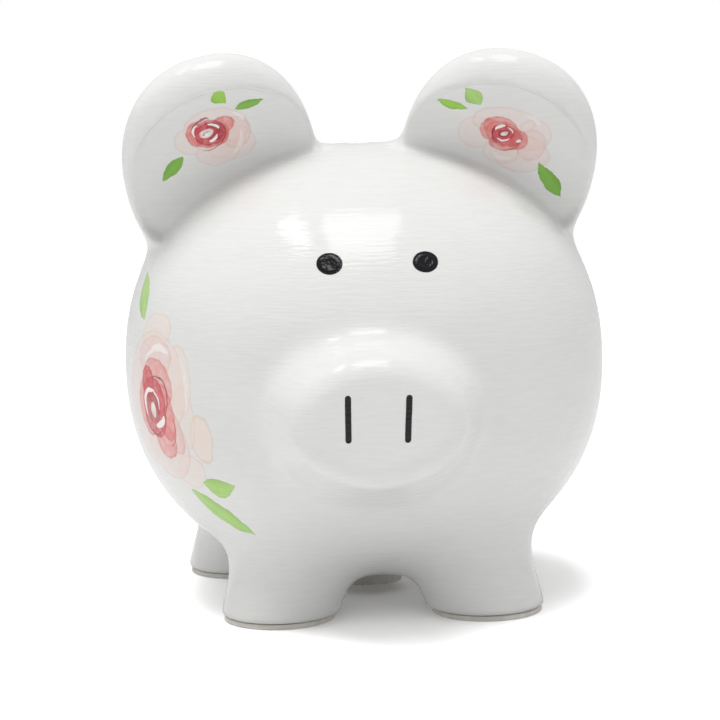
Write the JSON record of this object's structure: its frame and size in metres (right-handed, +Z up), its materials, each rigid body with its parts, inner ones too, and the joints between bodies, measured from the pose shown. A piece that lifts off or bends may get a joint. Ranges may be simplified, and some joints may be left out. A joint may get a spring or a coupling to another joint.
{
  "type": "piggy bank",
  "caption": "Round pig-shaped coin bank in glossy white ceramic, with a slot along its back, a pull-out rubber stopper in its belly and pads under its feet.",
  "frame": {"origin": "on the table, under the middle of the bank's overall length and width", "axes": "the pig faces -Y, +X is on the right of someone who looks at its face, +Z is up"},
  "size_m": [0.191, 0.2238, 0.2145],
  "materials": {
    "glazed_body": "gloss white, hand painted",
    "stopper_rubber": "matt",
    "pad_rubber": "matt"
  },
  "bodies": {
    "bank": {"body_shell": "glazed_body", "foot_pad_front_left": "pad_rubber", "foot_pad_front_right": "pad_rubber", "foot_pad_rear_left": "pad_rubber", "foot_pad_rear_right": "pad_rubber"},
    "stopper": {"rubber_stopper": "stopper_rubber"}
  },
  "joints": [
    {"name": "stopper_pull", "type": "slide", "parent": "bank", "child": "stopper", "axis": [0, 0, -1], "range_m": [0, 0.012]}
  ]
}
